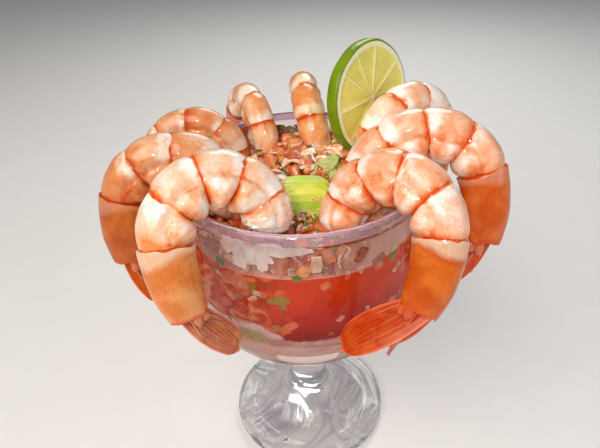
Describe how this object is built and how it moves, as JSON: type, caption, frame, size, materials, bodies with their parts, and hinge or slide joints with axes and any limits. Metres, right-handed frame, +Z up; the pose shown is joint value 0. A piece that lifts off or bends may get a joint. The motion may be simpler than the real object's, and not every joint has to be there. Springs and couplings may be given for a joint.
{
  "type": "prawn cocktail in a stemmed glass",
  "caption": "Prawn cocktail: tail-on cooked prawns hooked over the rim of a stemmed glass bowl of tomato salsa, with fanned avocado and a wheel of lime.",
  "frame": {"origin": "middle of the underside of the glass foot", "axes": "+Z up along the glass axis, -Y towards the front, +X to the right seen from the front"},
  "size_m": [0.1767, 0.1678, 0.2109],
  "materials": {
    "glass": "thick clear pressed glass, polished",
    "salsa": "wet tomato sauce with chopped onion, tomato and herbs",
    "prawn": "moist cooked flesh, satin shell on the tail",
    "lime": "juicy cut face with a waxy green rind",
    "avocado": "smooth soft flesh"
  },
  "bodies": {
    "root": {"glass": "glass", "cocktail_mix": "salsa", "prawn_1": "prawn", "prawn_2": "prawn", "prawn_3": "prawn", "prawn_4": "prawn", "prawn_5": "prawn", "prawn_6": "prawn", "prawn_7": "prawn", "prawn_8": "prawn", "lime_slice": "lime", "avocado_1": "avocado", "avocado_2": "avocado", "avocado_3": "avocado", "avocado_4": "avocado", "avocado_5": "avocado"}
  },
  "joints": []
}
